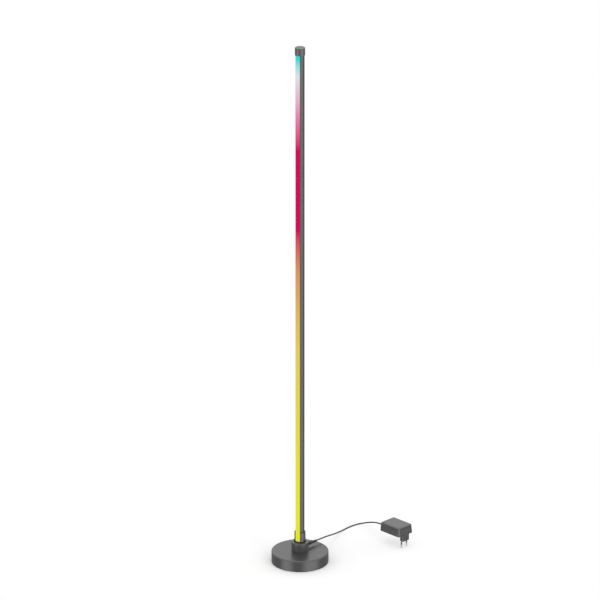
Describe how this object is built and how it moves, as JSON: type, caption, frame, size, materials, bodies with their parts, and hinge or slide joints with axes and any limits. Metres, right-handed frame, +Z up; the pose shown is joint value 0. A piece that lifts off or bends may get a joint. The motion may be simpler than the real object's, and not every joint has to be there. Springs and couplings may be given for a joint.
{
  "type": "corner floor lamp",
  "caption": "Slim corner floor lamp: weighted round base, round upright in sections with one light strip down its front, and a lead to a wall adapter with two round pins.",
  "frame": {"origin": "centre of the underside, on the floor", "axes": "+Z up along the upright, the light strip faces -Y, the power lead leaves the collar towards +Y"},
  "size_m": [0.212, 0.3673, 1.425],
  "materials": {
    "black_paint": "satin",
    "black_anodised": "satin black anodised",
    "cast_iron": "as cast",
    "steel": "zinc plated",
    "rubber": "matte",
    "black_plastic": "fine spark texture",
    "cord_rubber": "matte",
    "wire": "matte",
    "circuit_board": "solder mask",
    "components": "matte",
    "led_white": "gloss",
    "diffuser": "translucent satin, lit in changing colours",
    "plated_contact": "nickel plated"
  },
  "bodies": {
    "base": {"base_cover": "black_paint", "base_weight": "cast_iron", "base_plate": "steel", "base_pad": "rubber", "plate_screw_1": "steel", "plate_screw_2": "steel", "plate_screw_3": "steel", "pole_collar": "black_paint", "collar_screw_1": "steel", "collar_screw_2": "steel", "dc_jack": "black_plastic", "jack_pin": "plated_contact", "jack_ring_nut": "black_plastic", "jack_lead": "wire", "control_board": "circuit_board", "board_chips": "components", "board_sockets": "components", "board_screw_1": "steel", "board_screw_2": "steel"},
    "light_pole": {"pole_holder": "black_paint", "holder_nipple": "steel", "swivel_washer": "steel", "swivel_nut": "steel", "stop_pin": "steel", "clamp_screw": "steel", "profile_1": "black_anodised", "profile_2": "black_anodised", "profile_3": "black_anodised", "profile_4": "black_anodised", "joiner_1": "black_plastic", "joiner_2": "black_plastic", "joiner_3": "black_plastic", "joiner_1_screw_low": "steel", "joiner_1_screw_high": "steel", "joiner_2_screw_low": "steel", "joiner_2_screw_high": "steel", "joiner_3_screw_low": "steel", "joiner_3_screw_high": "steel", "diffuser": "diffuser", "led_tape": "circuit_board", "led_packages": "led_white", "strip_lead": "wire", "top_cap": "black_plastic"},
    "power_lead": {"plug_barrel": "plated_contact", "plug_grip": "cord_rubber", "power_cord": "cord_rubber", "cord_relief": "cord_rubber", "adapter_lower": "black_plastic", "adapter_upper": "black_plastic", "plug_head": "black_plastic", "mains_pin_1": "plated_contact", "mains_pin_2": "plated_contact", "pin_sleeve_1": "black_plastic", "pin_sleeve_2": "black_plastic", "adapter_board": "circuit_board", "adapter_transformer": "components", "adapter_capacitors": "components"}
  },
  "joints": [
    {"name": "pole_swivel", "type": "hinge", "parent": "base", "child": "light_pole", "pos_m": [0, 0, 0.052], "axis": [0, 0, 1], "range_deg": [-90, 90]},
    {"name": "lead_unplug", "type": "slide", "parent": "base", "child": "power_lead", "axis": [0, 1, 0], "range_m": [0, 0.01]}
  ]
}
